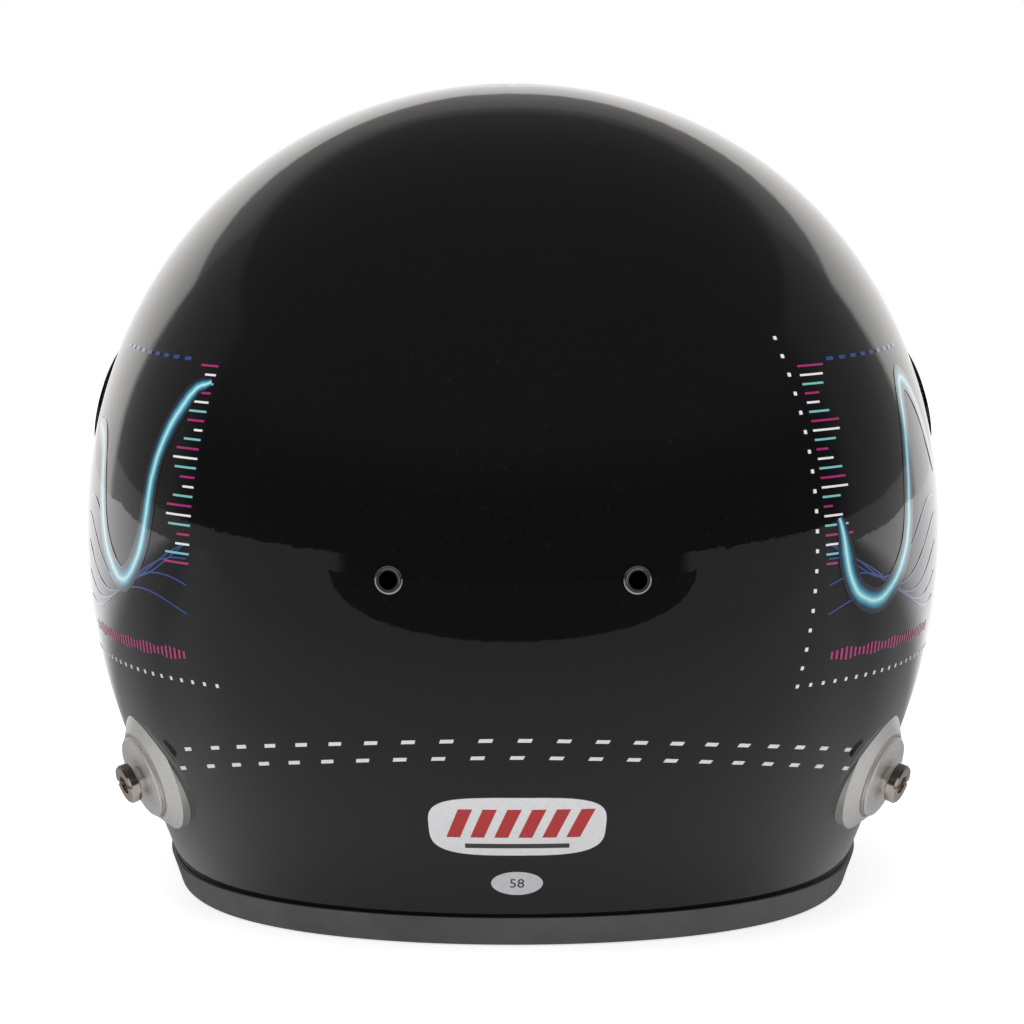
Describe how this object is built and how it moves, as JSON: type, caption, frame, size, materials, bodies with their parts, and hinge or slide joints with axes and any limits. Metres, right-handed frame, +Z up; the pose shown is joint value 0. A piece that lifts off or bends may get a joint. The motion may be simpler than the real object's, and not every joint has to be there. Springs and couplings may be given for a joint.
{
  "type": "auto racing helmet",
  "caption": "Closed auto racing helmet with hinged visor, padded liners, chin strap, vented chin bar and head-restraint anchor posts.",
  "frame": {"origin": "on the surface that the base trim rests on, under the middle of the helmet's box", "axes": "+Z up, the face looks along -Y, +X is the wearer's left"},
  "size_m": [0.2502, 0.3136, 0.233],
  "materials": {
    "shell_gloss": "high gloss clear coat over black",
    "trim_rubber": "satin extruded rubber",
    "seal_rubber": "matt soft rubber",
    "liner_foam": "bead foam",
    "comfort_fabric": "knitted fire-resistant fabric",
    "eyelet_steel": "polished rolled edge",
    "anchor_alloy": "fine turned",
    "anchor_steel": "bright machined",
    "pivot_plastic": "moulded satin",
    "pivot_alloy": "satin anodised",
    "visor_lens": "smoke tinted polycarbonate",
    "vent_plastic": "moulded satin",
    "vent_mesh": "punched",
    "webbing": "woven",
    "ring_steel": "polished wire"
  },
  "bodies": {
    "root": {"outer_shell": "shell_gloss", "base_trim": "trim_rubber", "eyeport_seal": "seal_rubber", "crown_liner": "liner_foam", "chin_liner": "liner_foam", "crown_pad": "comfort_fabric", "neck_roll": "comfort_fabric", "cheek_pad_left": "comfort_fabric", "cheek_pad_right": "comfort_fabric", "rear_eyelet_left": "eyelet_steel", "rear_eyelet_right": "eyelet_steel", "brow_eyelet_left": "eyelet_steel", "brow_eyelet_right": "eyelet_steel", "anchor_plate_left": "anchor_alloy", "anchor_plate_right": "anchor_alloy", "anchor_post_left": "anchor_steel", "anchor_post_right": "anchor_steel", "anchor_insert_left": "anchor_steel", "anchor_insert_right": "anchor_steel", "pivot_plate_left": "pivot_plastic", "pivot_plate_right": "pivot_plastic", "cheek_pad_snaps_left": "pivot_plastic", "cheek_pad_snaps_right": "pivot_plastic", "pivot_bush_left": "pivot_alloy", "pivot_bush_right": "pivot_alloy", "pivot_washer_left": "pivot_alloy", "pivot_washer_right": "pivot_alloy", "pivot_screw_left": "pivot_alloy", "pivot_screw_right": "pivot_alloy", "pivot_insert_left": "pivot_alloy", "pivot_insert_right": "pivot_alloy", "chin_vent_frame": "vent_plastic", "chin_vent_mesh": "vent_mesh", "strap_bush_left": "ring_steel", "strap_bush_right": "ring_steel", "strap_bolt_left": "ring_steel", "strap_bolt_right": "ring_steel"},
    "visor": {"visor_lens": "visor_lens", "visor_tab": "vent_plastic", "tear_off_post_left": "pivot_alloy", "tear_off_post_right": "pivot_alloy"},
    "vent_shutter": {"chin_vent_shutter": "vent_plastic"},
    "chin_strap": {"strap_left": "webbing", "strap_right": "webbing", "d_ring_lower": "ring_steel", "d_ring_upper": "ring_steel", "strap_keeper": "seal_rubber", "strap_plate_left": "ring_steel", "strap_plate_right": "ring_steel"}
  },
  "joints": [
    {"name": "visor_hinge", "type": "hinge", "parent": "root", "child": "visor", "pos_m": [0, -0.03409, 0.138], "axis": [-1, 0, 0], "range_deg": [0, 45]},
    {"name": "vent_slide", "type": "slide", "parent": "root", "child": "vent_shutter", "axis": [1, 0, 0], "range_m": [0, 0.005]},
    {"name": "strap_swing", "type": "hinge", "parent": "root", "child": "chin_strap", "pos_m": [0, -0.01309, 0.024], "axis": [1, 0, 0], "range_deg": [-20, 20]}
  ]
}
